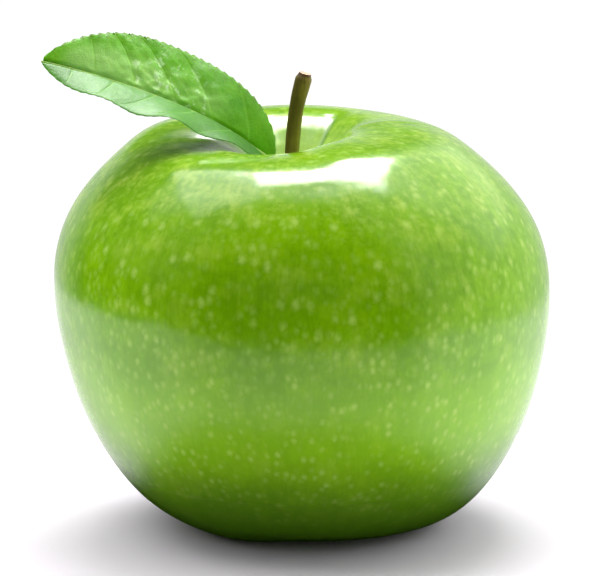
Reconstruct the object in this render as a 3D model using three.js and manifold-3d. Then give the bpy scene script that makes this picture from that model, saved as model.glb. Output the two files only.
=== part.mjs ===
// A green apple with its stem, one leaf and the dried flower at its base.
// Millimetres, +Z up. The origin is on the surface the apple stands on, under the middle of its box.
import * as THREE from "three";
import { mergeVertices } from "three/addons/utils/BufferGeometryUtils.js";
import Module from "manifold-3d";

const wasm = await Module();
wasm.setup();

// Fruit: the outline that is turned about the core, from the cavity floor to the basin. Each knot has its
// heading in degrees, 0 being outwards, and how hard the curve is pulled along it before and after the knot.
const CAVITY_FLOOR = { radius: 0, height: 51.8, heading: 0, pulls: [0, 3.2] };
const CAVITY_WALL = { radius: 8.2, height: 61.0, heading: 43, pulls: [4.4, 3.4] };
const CREST = { radius: 17.1, height: 65.2, heading: 0, pulls: [4.7, 4.2] };
const SHOULDER = { radius: 27.5, height: 61.6, heading: -41, pulls: [4.1, 8.2] };
const GIRTH = { radius: 39.85, height: 39.0, heading: -90, pulls: [11.0, 15.0] };
const FOOT = { radius: 13.9, height: -0.55, heading: -180, pulls: [17.2, 5.2] };
const BASIN = { radius: 0, height: 8.0, heading: -180, pulls: [4.5, 0] };
const OUTLINE = [CAVITY_FLOOR, CAVITY_WALL, CREST, SHOULDER, GIRTH, FOOT, BASIN];
const RINGS_PER_CURVE = [4, 5, 5, 12, 15, 6];
const SPOKES = 90;

// Fruit: its five ribs and the five valleys between them, in turn from RIB_START, a rib, round to the left:
// how far each is sunk below the full outline at the crown, how far the mouth of the cavity is drawn in
// there, and how far each is raised round the foot, where the ribs are lowest.
const RIB_START = 14;
const CROWN_SINKS = [0.1, 0.3, 0.1, 0.4, 0.0, 2.0, 2.4, 2.0, 0.8, 0.5];
const MOUTH_DRAWS = [2.8, 1.0, 0.0, 0.0, 0.0, 0.0, 0.0, 1.0, 2.8, 4.0];
const BASE_RISES = [0.0, 1.0, 0.0, 0.9, 0.0, 0.7, 0.4, 1.2, 1.0, 0.55];
const CROWN_SPREAD = 13; // these act round a radius, and fade over a spread on both sides of it
const MOUTH_RADIUS = 15;
const MOUTH_SPREAD = 8;
const MOUTH_FADE = 3; // the drawing in fades out inside this radius
const BASE_RADIUS = 18.5;
const BASE_SPREAD = 6;
const BELLY_SPREAD = 24;
const RIB_SWELL = 0.25;

// Fruit: the slight lean of its core.
const LEAN_BOTTOM = 1.98; // how far right the middle of the fruit lies at the table
const LEAN_PER_MM = -0.038;

// Stem: a woody stalk that widens at both ends.
const STEM_POINTS = [
  [-0.75, 0.1, 48.6],
  [-0.95, 0.1, 55.0],
  [-0.95, 0.0, 61.5],
  [-0.15, -0.1, 68.6],
  [1.1, -0.3, 73.6],
];
const STEM_FOOT_RADIUS = 1.55;
const STEM_WAIST_RADIUS = 1.16;
const STEM_TOP_RADIUS = 1.5;
const STEM_WAIST_FROM = 0.4; // shares of its length
const STEM_KNOB_FROM = 0.72;
const STEM_RIDGES = { count: 3, height: 0.035, twist: 4 };
const STEM_STEPS = 22;
const STEM_SIDES = 16;

// Leaf: a straight stalk, then the rib from the stalk's top to the tip, and the two halves of the blade.
const STALK_FOOT = [-3.0, -0.6, 50.8];
const STALK_TOP = [-3.4, 0.0, 56.0];
const RIB_RISE = [-4.0, 1.0, 64.5];
const RIB_ARCH = [-30.2, -5.6, 74.4];
const RIB_TIP = [-40.7, -5.0, 76.4];
const STALK_SHARE = 0.166; // the part of the rib's length that is bare stalk
const STALK_RADIUS = 0.62;
const RIB_TIP_RADIUS = 0.22;
const RIB_STEPS = 40;
const RIB_SIDES = 8;
const BLADE_THICKNESS = 0.62;
const FAR_WIDTH = 10.8;
const NEAR_WIDTH = 9.2;
const WIDTH_POWERS = [0.65, 0.72];
const ROLL = [0.68, 0.29, 0.86]; // turn of the blade about its rib at the base, middle and tip, in radians
const FOLD = [0.39, 0.3, 0.19]; // how far each half is folded up from flat, at the same places
const FAR_WAVE = { height: 0.25, waves: 1.4, start: 0.18 };
const NEAR_WAVE = { height: 0.59, waves: 3.6, start: 0.51 };
const TEETH = 32;
const TOOTH_DEPTH = 0.42;
const TOOTH_FULL_WIDTH = 4; // teeth shrink where a half is narrower than this
const BLADE_ENDS = [0.004, 0.994]; // shares of the blade's length, just short of its two points
const ROWS_PER_TOOTH = 2;
const CELLS_PER_HALF = 4;

// Calyx: the dried flower in the basin, a small cup with five sepals that spread from its rim.
const CALYX_RADIUS = 2.3;
const CALYX_ROOT = 12.2;
const CALYX_RIM = 6.0;
const SEPALS = 5;
const SEPAL_SPINE = [[1.3, 7.6], [2.0, 4.2], [3.4, 3.4], [4.8, 3.8]]; // distance from the middle, height
const SEPAL_WIDTH = 2.9;
const SEPAL_TIP_WIDTH = 0.24;
const SEPAL_THICKNESS = 0.62;
const SEPAL_SECTION = [[-1, -0.7], [0, -1], [1, -0.7], [1, 0.7], [0, 1], [-1, 0.7]];
const SEPAL_STEPS = 7;

const GAP = 0.3; // clearance of a root in its hole

const point = (values) => new THREE.Vector3(...values);
const radians = THREE.MathUtils.degToRad;
const mixThree = ([a, b, c], t) => a * (1 - t) ** 2 + 2 * b * t * (1 - t) + c * t * t;

const stemCurve = new THREE.CatmullRomCurve3(STEM_POINTS.map(point));
const ribCurve = new THREE.CurvePath();
ribCurve.add(new THREE.LineCurve3(point(STALK_FOOT), point(STALK_TOP)));
ribCurve.add(new THREE.CubicBezierCurve3(...[STALK_TOP, RIB_RISE, RIB_ARCH, RIB_TIP].map(point)));

// A closed skin over rings of equal count, with a single point at either end.
function skinOverRings(first, rings, last) {
  const count = rings[0].length;
  const points = [first, ...rings.flat(), last];
  const corner = (ring, i) => 1 + ring * count + (i % count);
  const index = [];
  for (let i = 0; i < count; i++) {
    index.push(0, corner(0, i), corner(0, i + 1));
    for (let ring = 0; ring + 1 < rings.length; ring++) {
      index.push(corner(ring, i), corner(ring + 1, i), corner(ring + 1, i + 1));
      index.push(corner(ring, i), corner(ring + 1, i + 1), corner(ring, i + 1));
    }
    index.push(points.length - 1, corner(rings.length - 1, i + 1), corner(rings.length - 1, i));
  }
  return new THREE.BufferGeometry().setFromPoints(points).setIndex(index);
}

function solidOf(geometry) {
  const bare = geometry.clone();
  bare.deleteAttribute("normal");
  bare.deleteAttribute("uv");
  const merged = mergeVertices(bare, 1e-4);
  const triVerts = new Uint32Array(merged.index.array);
  const vertProperties = merged.attributes.position.array;
  return new wasm.Manifold(new wasm.Mesh({ numProp: 3, vertProperties, triVerts }));
}

function geometryOf(solid) {
  const mesh = solid.getMesh();
  const position = new THREE.BufferAttribute(mesh.vertProperties, 3);
  const geometry = new THREE.BufferGeometry().setAttribute("position", position);
  geometry.setIndex(new THREE.BufferAttribute(mesh.triVerts, 1));
  geometry.computeVertexNormals();
  return geometry;
}

// A round rod along a curve, its radius a function of how far along it is and of the angle round it.
function rodAlong(curve, steps, sides, radiusAt) {
  const frames = curve.computeFrenetFrames(steps);
  const rings = [];
  for (let step = 0; step <= steps; step++) {
    const along = step / steps;
    const centre = curve.getPointAt(along);
    const ring = [];
    for (let i = 0; i < sides; i++) {
      const angle = (2 * Math.PI * i) / sides;
      const radius = radiusAt(along, angle);
      const spoke = centre.clone();
      spoke.addScaledVector(frames.normals[step], radius * Math.cos(angle));
      spoke.addScaledVector(frames.binormals[step], radius * Math.sin(angle));
      ring.push(spoke);
    }
    rings.push(ring);
  }
  return skinOverRings(curve.getPointAt(1), rings.reverse(), curve.getPointAt(0));
}

function uprightPeg(x, y, radius, low, high) {
  const peg = new THREE.CylinderGeometry(radius, radius, high - low, 20);
  peg.rotateX(Math.PI / 2);
  peg.translate(x, y, (low + high) / 2);
  return solidOf(peg);
}

// The point that a knot pulls the curve towards, ahead of it or, with a negative pull, behind it.
function pulled({ radius, height, heading }, pull) {
  const angle = radians(heading);
  return new THREE.Vector2(radius + pull * Math.cos(angle), height + pull * Math.sin(angle));
}

function fruitOutline() {
  return OUTLINE.slice(1).map((knot, i) => {
    const from = OUTLINE[i];
    return new THREE.CubicBezierCurve(
      pulled(from, 0),
      pulled(from, from.pulls[1]),
      pulled(knot, -knot.pulls[0]),
      pulled(knot, 0),
    );
  });
}

// The value at an angle of ten stations spaced evenly round the fruit, eased from each to the next.
function aroundRibs(stations, angle) {
  const turns = (angle - radians(RIB_START)) / (2 * Math.PI);
  const place = (turns - Math.floor(turns)) * stations.length;
  const here = Math.floor(place) % stations.length;
  const ease = 0.5 - 0.5 * Math.cos(Math.PI * (place - Math.floor(place)));
  return THREE.MathUtils.lerp(stations[here], stations[(here + 1) % stations.length], ease);
}

const bump = (value, centre, spread) => Math.exp(-(((value - centre) / spread) ** 2));

// A point of the skin: the outline turned to an angle, sunk in the valleys, leant, and set on the table.
function skinPoint(outlinePoint, angle) {
  const { x: r, y: z } = outlinePoint;
  const isCrown = z > GIRTH.height ? 1 : 0;
  const isBase = z < GIRTH.height / 2 ? 1 : 0;
  const sink = aroundRibs(CROWN_SINKS, angle) * isCrown * bump(r, CREST.radius, CROWN_SPREAD);
  const rise = aroundRibs(BASE_RISES, angle) * isBase * bump(r, BASE_RADIUS, BASE_SPREAD);
  const draw = aroundRibs(MOUTH_DRAWS, angle) * isCrown * bump(r, MOUTH_RADIUS, MOUTH_SPREAD);
  const ribs = RIB_SWELL * Math.cos(5 * (angle - radians(RIB_START)));
  const belly = bump(z, GIRTH.height, BELLY_SPREAD) * (r / GIRTH.radius);
  const radius = r + ribs * belly - draw * Math.min(r / MOUTH_FADE, 1);
  const lean = LEAN_BOTTOM + LEAN_PER_MM * z;
  return new THREE.Vector3(
    radius * Math.cos(angle) + lean,
    radius * Math.sin(angle),
    Math.max(z - sink + rise, 0),
  );
}

function fruitSkin() {
  const curves = fruitOutline();
  const stations = curves.flatMap((curve, i) => {
    const stops = curve.getSpacedPoints(RINGS_PER_CURVE[i]);
    return i ? stops.slice(1) : stops;
  });
  const ringAt = (station) =>
    Array.from({ length: SPOKES }, (_, i) => skinPoint(station, (2 * Math.PI * i) / SPOKES));
  const rings = stations.slice(1, -1).map(ringAt);
  return skinOverRings(skinPoint(stations[0], 0), rings, skinPoint(stations.at(-1), 0));
}

// The hole that a root stands in: the rod itself, wider all round, joined to a copy of it sunk deeper.
function socketOf(curve, steps, sides, radiusAt) {
  const rod = solidOf(rodAlong(curve, steps, sides, (along, angle) => radiusAt(along, angle) + GAP));
  const sunk = curve.getTangentAt(0).multiplyScalar(-GAP);
  return rod.add(rod.translate(sunk.toArray()));
}

function fruitGeometry() {
  const [calyxX, calyxY] = calyxCentre();
  return geometryOf(
    solidOf(fruitSkin())
      .subtract(socketOf(stemCurve, STEM_STEPS, STEM_SIDES, stemRadius))
      .subtract(socketOf(ribCurve, RIB_STEPS, RIB_SIDES, ribRadius))
      .subtract(uprightPeg(calyxX, calyxY, CALYX_RADIUS + GAP, -1, CALYX_ROOT + GAP)),
  );
}

// Thick at the foot, slim along the waist and swollen at the cut end, with three faint ridges.
function stemRadius(along, angle) {
  const waist = THREE.MathUtils.smoothstep(along, 0, STEM_WAIST_FROM);
  const knob = THREE.MathUtils.smoothstep(along, STEM_KNOB_FROM, 1);
  const radius = THREE.MathUtils.lerp(STEM_FOOT_RADIUS, STEM_WAIST_RADIUS, waist);
  const { count, height, twist } = STEM_RIDGES;
  const ridges = 1 + height * Math.cos(count * angle + twist * along);
  return (radius + (STEM_TOP_RADIUS - STEM_WAIST_RADIUS) * knob) * ridges;
}

function stemGeometry() {
  return rodAlong(stemCurve, STEM_STEPS, STEM_SIDES, stemRadius);
}

// A half of the blade at a share of its length, as how wide it is to its toothed margin.
function halfWidth(share, width) {
  const [rise, fall] = WIDTH_POWERS;
  const peak = rise / (rise + fall);
  const scale = width / (peak ** rise * (1 - peak) ** fall);
  return scale * share ** rise * (1 - share) ** fall;
}

// One row of points across the blade's middle sheet, from the near margin over the rib to the far margin.
function bladeRow(share, tooth) {
  const along = STALK_SHARE + (1 - STALK_SHARE) * share;
  const centre = ribCurve.getPointAt(along);
  const forward = ribCurve.getTangentAt(along);
  const across = new THREE.Vector3(forward.y, -forward.x, 0).normalize();
  const up = new THREE.Vector3().crossVectors(forward, across);
  if (up.z < 0) up.negate();
  const roll = mixThree(ROLL, share);
  const fold = mixThree(FOLD, share);
  const fade = Math.sin(Math.PI * share);
  const row = [];
  for (let cell = -CELLS_PER_HALF; cell <= CELLS_PER_HALF; cell++) {
    const side = Math.sign(cell);
    const reach = Math.abs(cell) / CELLS_PER_HALF;
    const wave = side > 0 ? FAR_WAVE : NEAR_WAVE;
    const width = halfWidth(share, side > 0 ? FAR_WIDTH : NEAR_WIDTH);
    const out = reach * width - (reach === 1 ? tooth * Math.min(1, width / TOOTH_FULL_WIDTH) : 0);
    const tilt = side > 0 ? roll + fold : fold - roll;
    const swing = Math.sin(2 * Math.PI * (wave.waves * share + wave.start));
    const lift = wave.height * swing * fade * reach ** 2;
    const spot = centre.clone();
    spot.addScaledVector(across, side * out * Math.cos(tilt));
    spot.addScaledVector(up, out * Math.sin(tilt) + lift);
    row.push(spot);
  }
  return row;
}

// The blade as a sheet of even thickness: both faces are the middle sheet moved along its own normals.
function bladeGeometry() {
  const count = TEETH * ROWS_PER_TOOTH;
  const rows = [];
  for (let i = 0; i <= count; i++) {
    const share = THREE.MathUtils.lerp(...BLADE_ENDS, i / count);
    rows.push(bladeRow(share, i % ROWS_PER_TOOTH ? 0 : TOOTH_DEPTH));
  }
  const wide = rows[0].length;
  const sheet = new THREE.BufferGeometry().setFromPoints(rows.flat());
  const index = [];
  for (let row = 0; row + 1 < rows.length; row++) {
    for (let i = 0; i + 1 < wide; i++) {
      const here = row * wide + i;
      index.push(here, here + wide, here + 1, here + 1, here + wide, here + wide + 1);
    }
  }
  sheet.setIndex(index);
  sheet.computeVertexNormals();
  const { position, normal } = sheet.attributes;
  const face = (offset) =>
    Array.from({ length: position.count }, (_, i) => {
      const spot = new THREE.Vector3().fromBufferAttribute(position, i);
      return spot.addScaledVector(new THREE.Vector3().fromBufferAttribute(normal, i), offset);
    });
  const points = [...face(BLADE_THICKNESS / 2), ...face(-BLADE_THICKNESS / 2)];
  const under = position.count;
  const faces = [...index];
  for (let i = 0; i < index.length; i += 3) {
    faces.push(under + index[i], under + index[i + 2], under + index[i + 1]);
  }
  for (const [a, b] of sheetEdge(rows.length, wide)) {
    faces.push(a, under + a, b, b, under + a, under + b);
  }
  return new THREE.BufferGeometry().setFromPoints(points).setIndex(faces);
}

// The steps round the edge of a sheet of points, in the order that faces its rim outwards.
function sheetEdge(rows, wide) {
  const across = Array.from({ length: wide }, (_, i) => i);
  const along = Array.from({ length: rows - 2 }, (_, i) => (i + 1) * wide);
  const loop = [
    ...across,
    ...along.map((spot) => spot + wide - 1),
    ...across.map((spot) => spot + (rows - 1) * wide).reverse(),
    ...along.reverse(),
  ];
  return loop.map((spot, i) => [loop[(i + 1) % loop.length], spot]);
}

function ribRadius(along) {
  return THREE.MathUtils.lerp(STALK_RADIUS, RIB_TIP_RADIUS, along ** 1.5);
}

function leafGeometry() {
  const rod = rodAlong(ribCurve, RIB_STEPS, RIB_SIDES, ribRadius);
  return geometryOf(solidOf(rod).add(solidOf(bladeGeometry())));
}

function calyxCentre() {
  return [LEAN_BOTTOM + LEAN_PER_MM * BASIN.height, 0];
}

// A sepal hangs from the cup, turns outwards and narrows to its tip.
function sepal(angle) {
  const places = SEPAL_SPINE.map(([r, z]) => new THREE.Vector3(r, 0, z));
  const spine = new THREE.CubicBezierCurve3(...places);
  const rings = [];
  for (let step = 0; step <= SEPAL_STEPS; step++) {
    const along = step / SEPAL_STEPS;
    const centre = spine.getPointAt(along);
    const forward = spine.getTangentAt(along);
    const half = (SEPAL_WIDTH * (1 - along) ** 0.7 + SEPAL_TIP_WIDTH) / 2;
    const thick = SEPAL_THICKNESS / 2;
    const corner = ([wide, deep]) =>
      new THREE.Vector3(forward.z * deep * thick, wide * half, -forward.x * deep * thick).add(centre);
    rings.push(SEPAL_SECTION.map(corner));
  }
  const geometry = skinOverRings(spine.getPointAt(0), rings, spine.getPointAt(1));
  geometry.rotateZ(angle);
  geometry.translate(...calyxCentre(), 0);
  return solidOf(geometry);
}

function calyxGeometry() {
  const [x, y] = calyxCentre();
  const cup = uprightPeg(x, y, CALYX_RADIUS, CALYX_RIM, CALYX_ROOT);
  const angles = Array.from({ length: SEPALS }, (_, i) => radians(RIB_START) + (2 * Math.PI * i) / SEPALS);
  const joined = angles.reduce((sum, angle) => sum.add(sepal(angle)), cup);
  return geometryOf(joined);
}

function namedMesh(name, geometry, color, roughness) {
  const mesh = new THREE.Mesh(geometry, new THREE.MeshStandardMaterial({ color, roughness, metalness: 0 }));
  mesh.name = name;
  return mesh;
}

const apple = new THREE.Group();
apple.add(namedMesh("fruit", fruitGeometry(), 0x74a82e, 0.25));
apple.add(namedMesh("stem", stemGeometry(), 0x5a5a1c, 0.7));
apple.add(namedMesh("leaf", leafGeometry(), 0x6fb53a, 0.45));
apple.add(namedMesh("calyx", calyxGeometry(), 0x5b4a2c, 0.85));

export default apple;
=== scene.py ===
import math

import bpy
import numpy as np
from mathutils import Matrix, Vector, noise


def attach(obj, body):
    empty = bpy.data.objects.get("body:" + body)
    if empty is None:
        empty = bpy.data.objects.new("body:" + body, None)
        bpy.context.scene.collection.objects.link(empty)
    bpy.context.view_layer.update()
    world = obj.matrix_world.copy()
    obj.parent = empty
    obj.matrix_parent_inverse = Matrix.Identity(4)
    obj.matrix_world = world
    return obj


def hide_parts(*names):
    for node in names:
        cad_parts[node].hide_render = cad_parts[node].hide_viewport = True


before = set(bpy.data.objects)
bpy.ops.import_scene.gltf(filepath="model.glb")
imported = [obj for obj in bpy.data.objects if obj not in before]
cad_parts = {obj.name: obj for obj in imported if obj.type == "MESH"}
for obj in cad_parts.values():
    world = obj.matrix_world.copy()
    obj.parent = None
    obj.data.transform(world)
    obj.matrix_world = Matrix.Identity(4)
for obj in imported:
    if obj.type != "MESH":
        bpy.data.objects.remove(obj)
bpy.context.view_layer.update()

mm = 0.001


class Wire:  # a number in a node tree: sums written with it become math nodes
    def __init__(self, tree, socket):
        self.tree = tree
        self.socket = socket

    def math(self, operation, *others):
        node = self.tree.nodes.new("ShaderNodeMath")
        node.operation = operation
        for slot, value in zip(node.inputs, (self, *others)):
            plug(self.tree, value, slot)
        return Wire(self.tree, node.outputs[0])

    def __add__(self, other):
        return self.math("ADD", other)

    def __sub__(self, other):
        return self.math("SUBTRACT", other)

    def __rsub__(self, other):
        return self * -1.0 + other

    def __mul__(self, other):
        return self.math("MULTIPLY", other)

    def __truediv__(self, other):
        return self.math("DIVIDE", other)

    __radd__ = __add__
    __rmul__ = __mul__

    def bump(self, centre, spread):  # 1 at the centre, falling to 0 over the spread on both sides
        away = (self - centre) / spread
        return (away * away * -1.0).math("EXPONENT")

    def ease(self, low, high, start=0.0, end=1.0):  # a smooth step from start to end between low and high
        sockets = {"Value": self, "From Min": low, "From Max": high, "To Min": start, "To Max": end}
        node = add(self.tree, "ShaderNodeMapRange", sockets, interpolation_type="SMOOTHSTEP")
        return Wire(self.tree, node.outputs["Result"])


def plug(tree, value, slot):
    if isinstance(value, Wire):
        tree.links.new(value.socket, slot)
    elif isinstance(value, bpy.types.NodeSocket):
        tree.links.new(value, slot)
    else:
        slot.default_value = value


def settle(tree, node, sockets):
    for name, value in sockets.items():
        plug(tree, value, node.inputs[name])


def add(tree, kind, sockets=None, **settings):  # a new node, its properties and the inputs given by name
    node = tree.nodes.new(kind)
    for name, value in settings.items():
        setattr(node, name, value)
    settle(tree, node, sockets or {})
    return node


def geometryTree(name, inputs):  # an empty Geometry Nodes tree with a geometry input and these named numbers
    tree = bpy.data.node_groups.new(name, "GeometryNodeTree")
    tree.interface.new_socket("Geometry", in_out="INPUT", socket_type="NodeSocketGeometry")
    for label, value in inputs.items():
        kind = "NodeSocketInt" if isinstance(value, int) else "NodeSocketFloat"
        tree.interface.new_socket(label, in_out="INPUT", socket_type=kind)
    tree.interface.new_socket("Geometry", in_out="OUTPUT", socket_type="NodeSocketGeometry")
    start = tree.nodes.new("NodeGroupInput")
    wires = {label: Wire(tree, start.outputs[label]) for label in inputs}
    return tree, start.outputs["Geometry"], wires


def closeTree(tree, geometry, material):
    smooth = add(tree, "GeometryNodeSetShadeSmooth", {"Geometry": geometry})
    real = add(tree, "GeometryNodeRealizeInstances", {"Geometry": smooth.outputs[0]})
    painted = add(tree, "GeometryNodeSetMaterial", {"Geometry": real.outputs[0], "Material": material})
    end = tree.nodes.new("NodeGroupOutput")
    tree.links.new(painted.outputs[0], end.inputs["Geometry"])


def grown(holder, tree, inputs, name):  # the plain mesh that a tree makes on an object
    modifier = holder.modifiers.new(tree.name, "NODES")
    modifier.node_group = tree
    for item in tree.interface.items_tree:
        if item.item_type == "SOCKET" and item.in_out == "INPUT" and item.name in inputs:
            modifier[item.identifier] = inputs[item.name]
    evaluated = holder.evaluated_get(bpy.context.evaluated_depsgraph_get())
    mesh = bpy.data.meshes.new_from_object(evaluated)
    holder.modifiers.remove(modifier)
    bpy.data.objects.remove(holder)
    mesh.name = name
    piece = bpy.data.objects.new(name, mesh)
    bpy.context.collection.objects.link(piece)
    return piece


def moveTo(tree, geometry, place):
    return add(tree, "GeometryNodeSetPosition", {"Geometry": geometry, "Position": place}).outputs[0]


def moveBy(tree, geometry, offset):
    return add(tree, "GeometryNodeSetPosition", {"Geometry": geometry, "Offset": offset}).outputs[0]


def stored(tree, geometry, name, value, kind):  # geometry that tells its material this value at each point
    sockets = {"Geometry": geometry, "Name": name, "Value": value}
    return add(tree, "GeometryNodeStoreNamedAttribute", sockets, data_type=kind, domain="POINT").outputs[0]


def splineObject(name, kind, points, handles=None, resolution=48):  # a curve for a tree to grow on
    data = bpy.data.curves.new(name, "CURVE")
    data.dimensions = "3D"
    spline = data.splines.new(kind)
    if kind == "BEZIER":
        spline.bezier_points.add(len(points) - 1)
        for knot, place, (before, after) in zip(spline.bezier_points, points, handles):
            knot.handle_left_type = knot.handle_right_type = "FREE"
            knot.co, knot.handle_left, knot.handle_right = place, before, after
    else:
        spline.points.add(len(points) - 1)
        for knot, place in zip(spline.points, points):
            knot.co = (*place, 1)
    spline.resolution_u = resolution
    made = bpy.data.objects.new(name, data)
    bpy.context.collection.objects.link(made)
    return made


def meshObject(name, points, faces, material, attributes=None):
    mesh = bpy.data.meshes.new(name)
    mesh.from_pydata([tuple(p) for p in points], [], faces)
    mesh.update()
    mesh.polygons.foreach_set("use_smooth", [True] * len(mesh.polygons))
    for label, values in (attributes or {}).items():
        layer = mesh.attributes.new(label, "FLOAT", "POINT")
        layer.data.foreach_set("value", np.asarray(values, dtype=np.float32))
    mesh.materials.append(material)
    piece = bpy.data.objects.new(name, mesh)
    bpy.context.collection.objects.link(piece)
    return piece


def rides(piece, node):
    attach(piece, "root")
    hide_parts(node)
    print(node + ":", len(piece.data.polygons), "faces")


def newMaterial(name):
    made = bpy.data.materials.new(name)
    made.use_nodes = True
    tree = made.node_tree
    tree.nodes.clear()
    surface = tree.nodes.new("ShaderNodeBsdfPrincipled")
    end = tree.nodes.new("ShaderNodeOutputMaterial")
    tree.links.new(surface.outputs[0], end.inputs["Surface"])
    return made, tree, surface


def linear(red, green, blue):  # the light that a colour of the screen, 0 to 255, stands for
    def one(value):
        share = value / 255
        return share / 12.92 if share <= 0.04045 else ((share + 0.055) / 1.055) ** 2.4

    return (one(red), one(green), one(blue), 1)


def mixColour(factor, first, second):  # of sockets, or of colours as they look on screen
    node = add(factor.tree, "ShaderNodeMix", {"Factor": factor}, data_type="RGBA")
    for name, colour in (("A", first), ("B", second)):
        slot = next(s for s in node.inputs if s.name == name and s.type == "RGBA")
        plug(factor.tree, linear(*colour) if isinstance(colour, tuple) else colour, slot)
    return next(s for s in node.outputs if s.type == "RGBA")


def bumped(tree, relief, height):  # the normals of a relief: strength and depth
    strength, depth = relief
    return add(tree, "ShaderNodeBump", {"Strength": strength, "Distance": depth, "Height": height}).outputs[0]


def parts(tree, vector):
    node = add(tree, "ShaderNodeSeparateXYZ", {"Vector": vector})
    return [Wire(tree, out) for out in node.outputs]


def joined(tree, x, y, z):
    node = add(tree, "ShaderNodeCombineXYZ", {"X": x, "Y": y, "Z": z})
    return node.outputs[0]


def noiseAt(tree, vector, scale, detail=2.0, roughness=0.5):
    sockets = {"Vector": vector, "Scale": scale, "Detail": detail, "Roughness": roughness}
    return Wire(tree, add(tree, "ShaderNodeTexNoise", sockets).outputs[0])


# the fruit: one outline turned about a leaning core, with ribs and valleys
fruit = {
    # from the cavity's floor to the basin, in millimetres:
    # radius, height, heading in degrees, pull before and after
    "outline": (
        (0.0, 51.8, 0, 0.0, 3.2),
        (8.2, 61.0, 43, 4.4, 3.4),
        (17.1, 65.2, 0, 4.7, 4.2),
        (27.5, 61.6, -41, 4.1, 8.2),
        (39.85, 39.0, -90, 11.0, 15.0),
        (13.9, -0.55, -180, 17.2, 5.2),
        (0.0, 8.0, -180, 4.5, 0.0),
    ),
    "spokes": 264,
    "rings": 176,
    # millimetres that each rib and valley, in turn, is sunk at the crown,
    # drawn in at the cavity's mouth and raised at the foot
    "crownSinks": (0.1, 0.3, 0.1, 0.4, 0.0, 2.0, 2.4, 2.0, 0.8, 0.5),
    "mouthDraws": (2.8, 1.0, 0.0, 0.0, 0.0, 0.0, 0.0, 1.0, 2.8, 4.0),
    "baseRises": (0.0, 1.0, 0.0, 0.9, 0.0, 0.7, 0.4, 1.2, 1.0, 0.55),
    "sizes": {
        "Rib start": math.radians(14),
        "Crest radius": 17.1 * mm,
        "Crown spread": 13 * mm,
        "Mouth radius": 15 * mm,
        "Mouth spread": 8 * mm,
        "Mouth fade": 3 * mm,
        "Base radius": 18.5 * mm,
        "Base spread": 6 * mm,
        "Girth radius": 39.85 * mm,
        "Girth height": 39.0 * mm,
        "Belly spread": 24 * mm,
        "Rib swell": 0.25 * mm,
        "Lean at table": 1.98 * mm,
        "Lean per metre": -0.038,
        "Unevenness": 0.16 * mm,
        "Basin creases": 0.35 * mm,
        "Fold heading": math.radians(60),
        "Fold width": math.radians(7),
        "Fold depth": 0.55 * mm,
        "Fold radius": 11 * mm,
        "Fold length": 5 * mm,
        "Basin radius": 5.5 * mm,
        "Basin spread": 3.5 * mm,
        "Basin top": 12 * mm,
    },
    "wanderCells": 55.0,  # of noise to the metre
    "smoothRadii": (3 * mm, 20 * mm),  # the unevenness starts between these radii
    "poleRadius": 1.5 * mm,  # nothing is lifted nearer to the core's ends
    "weldDistance": 2e-6,
    "stationScale": 4.0,  # the most that the curves round the ribs can say, in millimetres
    # colours as they look on screen
    "deep": (98, 150, 1),
    "fresh": (128, 180, 6),
    # band: painted light, the table's glow under the girth
    "band": (144, 200, 30),
    # foot: painted shade towards the base
    "foot": (58, 100, 1),
    "haze": (166, 198, 66),
    "pale": (184, 214, 100),
    # cavity: painted light on the cavity's wall
    "cavity": (204, 234, 132),
    "russet": (146, 134, 58),
    # crease: painted shade in the fold of the cavity's wall
    "crease": (70, 120, 8),
    # cells of noise, round the skin and down it or to the metre
    "streakCells": (34, 14),
    "fleckCells": (90, 130),
    "blotchCells": 75.0,
    "cloudCells": 190.0,
    "waveCells": 230.0,
    "mottleCells": 420.0,
    "speckleCells": 850.0,
    "raggedCells": 1500.0,
    # how much streaks, flecks, mottle and blotches shift the green
    "toneWeights": (0.4, 0.5, 0.8, 1.1),
    # heights above the table between which each of these comes or goes
    # between freshHeights the green turns fresher, a painted light from above
    "freshHeights": (18 * mm, 60 * mm),
    "footHeights": (1 * mm, 21 * mm),
    "hazeHeights": (36 * mm, 56 * mm),
    "speckleHeights": (46 * mm, 60 * mm),
    "largeDotHeights": (24 * mm, 46 * mm),
    "smallDotHeights": (30 * mm, 55 * mm),
    "waveHeights": (12 * mm, 32 * mm),
    "satinHeights": (7 * mm, 19 * mm),
    "unevenHeights": (18 * mm, 30 * mm),
    "bandMiddle": 22.5 * mm,
    "bandSpread": 11 * mm,
    "basinRadii": (13 * mm, 24 * mm),
    # shares of the way down the outline, from the stem
    "cavityDrops": (0.02, 0.16),
    "russetDrops": (0.012, 0.06),
    "creaseStart": (0.03, 0.06),
    "creaseEnd": (0.13, 0.18),
    "creaseWidth": math.radians(2.5),
    # size of a Voronoi cell, inner and outer edge of a dot as shares of it, strength
    "largeDots": (2.1 * mm, 0.0, 0.5, 0.5),
    "smallDots": (1.45 * mm, 0.0, 0.54, 0.44),
    "dotSquash": 0.75,
    "dotRaggedness": 0.35,
    "relief": (0.5, 0.08 * mm),  # strength and depth
    "roughness": 0.155,
    "surface": {"IOR": 1.45},
}


def aroundCurve(tree, turn, stations):  # the value at a share of a turn, eased from station to station
    node = tree.nodes.new("ShaderNodeFloatCurve")
    curve = node.mapping.curves[0]
    closed = (*stations, stations[0])
    scale = fruit["stationScale"]
    curve.points[0].location = (0, closed[0] / scale)
    curve.points[1].location = (1, closed[-1] / scale)
    for i, value in enumerate(closed[1:-1], 1):
        curve.points.new(i / len(stations), value / scale)
    node.mapping.update()
    plug(tree, turn, node.inputs["Value"])
    return Wire(tree, node.outputs[0]) * (scale * mm)


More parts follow.
